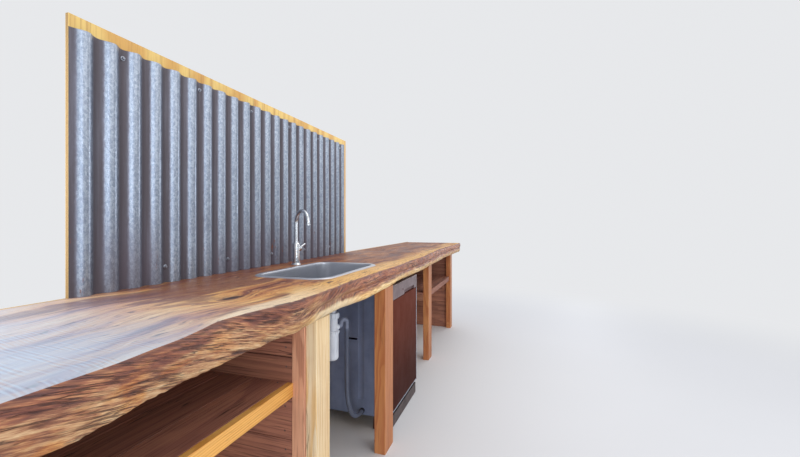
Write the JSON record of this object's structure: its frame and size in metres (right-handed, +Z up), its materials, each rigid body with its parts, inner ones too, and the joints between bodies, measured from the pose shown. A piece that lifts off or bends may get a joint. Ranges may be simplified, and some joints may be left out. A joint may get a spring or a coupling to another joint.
{
  "type": "live-edge kitchen bench unit of a shepherds hut, with inset sink, tap, shelves and built-under dishwasher",
  "caption": "Kitchen bench for a small hut: live-edge slab on posts with sink, swivelling tap, open shelves, corrugated iron splashback and a dishwasher with a drop-down door.",
  "frame": {"origin": "middle of the floor outline", "axes": "+X along the bench to the right seen from the front, +Y towards the wall, +Z up"},
  "size_m": [4, 0.6596, 1.703],
  "materials": {
    "slab": "oiled slab with bark edge",
    "pale_timber": "planed pale pine",
    "brown_timber": "rough sawn pine",
    "orange_timber": "planed reddish pine",
    "yellow_timber": "planed yellow pine",
    "dark_boards": "dark stained boards",
    "plywood": "sanded plywood",
    "galvanised_iron": "galvanised, weathered",
    "sink_steel": "brushed",
    "white_plastic": "satin",
    "grey_hose": "satin ribbed",
    "tap_chrome": "polished",
    "washer_side": "satin",
    "washer_zinc": "zinc coated",
    "tub_steel": "satin",
    "base_plastic": "matte",
    "plinth_dark": "matte",
    "hinge_steel": "zinc coated",
    "door_steel": "brushed, dark",
    "fascia_grey": "satin"
  },
  "bodies": {
    "bench": {"bench_slab": "slab", "left_end_post": "pale_timber", "pale_post": "pale_timber", "divider_stud": "brown_timber", "partition_battens": "brown_timber", "wall_ledger": "brown_timber", "left_shelf_cleats": "brown_timber", "right_shelf_bearers": "brown_timber", "sink_post": "orange_timber", "shelf_post": "orange_timber", "right_end_post": "orange_timber", "left_shelf_rail": "yellow_timber", "left_end_boards": "dark_boards", "divider_boards": "dark_boards", "right_end_boards": "dark_boards", "left_shelf_boards": "dark_boards", "right_shelf_boards": "dark_boards", "right_shelf_rail": "dark_boards", "lower_lining": "plywood", "upper_lining": "plywood", "splash_sheet_left": "galvanised_iron", "splash_sheet_middle": "galvanised_iron", "splash_sheet_right": "galvanised_iron", "sink_bowl": "sink_steel", "sink_waste": "sink_steel", "bottle_trap": "white_plastic", "waste_pipe": "white_plastic", "hose_elbow": "grey_hose", "drain_hose": "grey_hose", "tap_body": "tap_chrome", "tap_backnut": "tap_chrome", "washer_side_panels": "washer_side", "washer_back_panel": "washer_zinc", "washer_top_plate": "washer_zinc", "washer_tub": "tub_steel", "rack_rails": "tub_steel", "washer_base": "base_plastic", "washer_feet": "base_plastic", "washer_plinth": "plinth_dark", "washer_hinge_pins": "hinge_steel"},
    "dishwasher_door": {"door_liner": "tub_steel", "door_pan": "door_steel", "door_fascia": "fascia_grey"},
    "tap_spout": {"tap_spout": "tap_chrome"},
    "tap_lever": {"tap_lever": "tap_chrome"}
  },
  "joints": [
    {"name": "dishwasher_door_hinge", "type": "hinge", "parent": "bench", "child": "dishwasher_door", "pos_m": [0, -0.23722, 0.098], "axis": [1, 0, 0], "range_deg": [0, 90]},
    {"name": "tap_spout_swivel", "type": "hinge", "parent": "bench", "child": "tap_spout", "pos_m": [-0.44, 0.18778, 0.985], "axis": [0, 0, 1], "range_deg": [-60, 60]},
    {"name": "tap_lever_turn", "type": "hinge", "parent": "bench", "child": "tap_lever", "pos_m": [-0.44, 0.18778, 0.969], "axis": [1, 0, 0], "range_deg": [-45, 45]}
  ]
}
